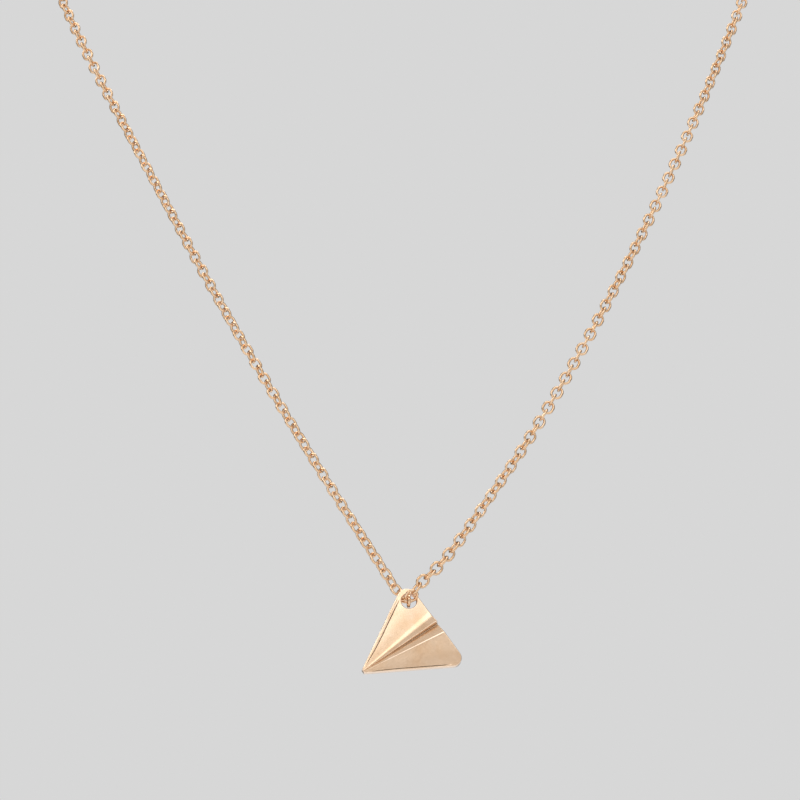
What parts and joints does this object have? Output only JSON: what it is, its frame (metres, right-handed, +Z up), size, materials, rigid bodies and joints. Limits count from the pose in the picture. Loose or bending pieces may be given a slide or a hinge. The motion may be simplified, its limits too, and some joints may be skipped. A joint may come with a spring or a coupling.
{
  "type": "pendant necklace",
  "caption": "Fine cable-chain necklace with a small folded-dart pendant shaped like a paper plane, a claw clasp and an extender chain ending in a drop.",
  "frame": {"origin": "top of the hanging loop, on the clasp's centre line, where the necklace is hung", "axes": "+Z up, -Y the front that the pendant shows, +X to the right seen from the front"},
  "size_m": [0.109, 0.0052, 0.1833],
  "materials": {
    "rose_gold_plate": "polished",
    "rose_gold_chain": "polished",
    "clasp_metal": "polished",
    "spring_steel": "satin"
  },
  "bodies": {
    "necklace": {"left_chain_1": "rose_gold_chain", "left_chain_2": "rose_gold_chain", "left_chain_3": "rose_gold_chain", "left_chain_4": "rose_gold_chain", "right_chain_1": "rose_gold_chain", "right_chain_2": "rose_gold_chain", "right_chain_3": "rose_gold_chain", "right_chain_4": "rose_gold_chain", "left_hanger_link": "rose_gold_chain", "right_hanger_link": "rose_gold_chain", "left_end_ring": "rose_gold_chain", "right_end_ring": "rose_gold_chain", "catch_ring": "rose_gold_chain", "clasp_body": "clasp_metal", "clasp_pin": "spring_steel", "clasp_spring": "spring_steel"},
    "centre_link": {"centre_link": "rose_gold_chain"},
    "pendant": {"pendant": "rose_gold_plate"},
    "clasp_trigger": {"clasp_trigger": "clasp_metal"},
    "extender_upper": {"extender_upper": "rose_gold_chain"},
    "extender_middle": {"extender_middle": "rose_gold_chain"},
    "extender_lower": {"extender_lower": "rose_gold_chain"},
    "end_drop": {"drop_ring": "rose_gold_chain", "end_drop": "rose_gold_plate"}
  },
  "joints": [
    {"name": "pendant_tilt", "type": "hinge", "parent": "necklace", "child": "centre_link", "pos_m": [0, 0, -0.1719], "axis": [0.9962, 0.0872, 0], "range_deg": [-6, 6]},
    {"name": "pendant_swing", "type": "hinge", "parent": "centre_link", "child": "pendant", "pos_m": [0, 0, -0.172], "axis": [-0.0872, 0.9962, 0], "range_deg": [-40, 40]},
    {"name": "trigger_press", "type": "hinge", "parent": "necklace", "child": "clasp_trigger", "pos_m": [-0.00127, 0, 0.00052], "axis": [0, 1, 0], "range_deg": [0, 15], "stiffness_Nm_per_rad": 0.0015, "springref_deg": -11.46},
    {"name": "extender_swing", "type": "hinge", "parent": "necklace", "child": "extender_upper", "pos_m": [0.0046, 0, -0.00209], "axis": [1, 0, 0], "range_deg": [-60, 60]},
    {"name": "extender_bend_middle", "type": "hinge", "parent": "extender_upper", "child": "extender_middle", "pos_m": [0.0046, 0, -0.01284], "axis": [0, 1, 0], "range_deg": [-60, 60]},
    {"name": "extender_bend_lower", "type": "hinge", "parent": "extender_middle", "child": "extender_lower", "pos_m": [0.0046, 0, -0.02789], "axis": [1, 0, 0], "range_deg": [-60, 60]},
    {"name": "drop_swing", "type": "hinge", "parent": "extender_lower", "child": "end_drop", "pos_m": [0.0046, 0, -0.04079], "axis": [1, 0, 0], "range_deg": [-60, 60]}
  ]
}
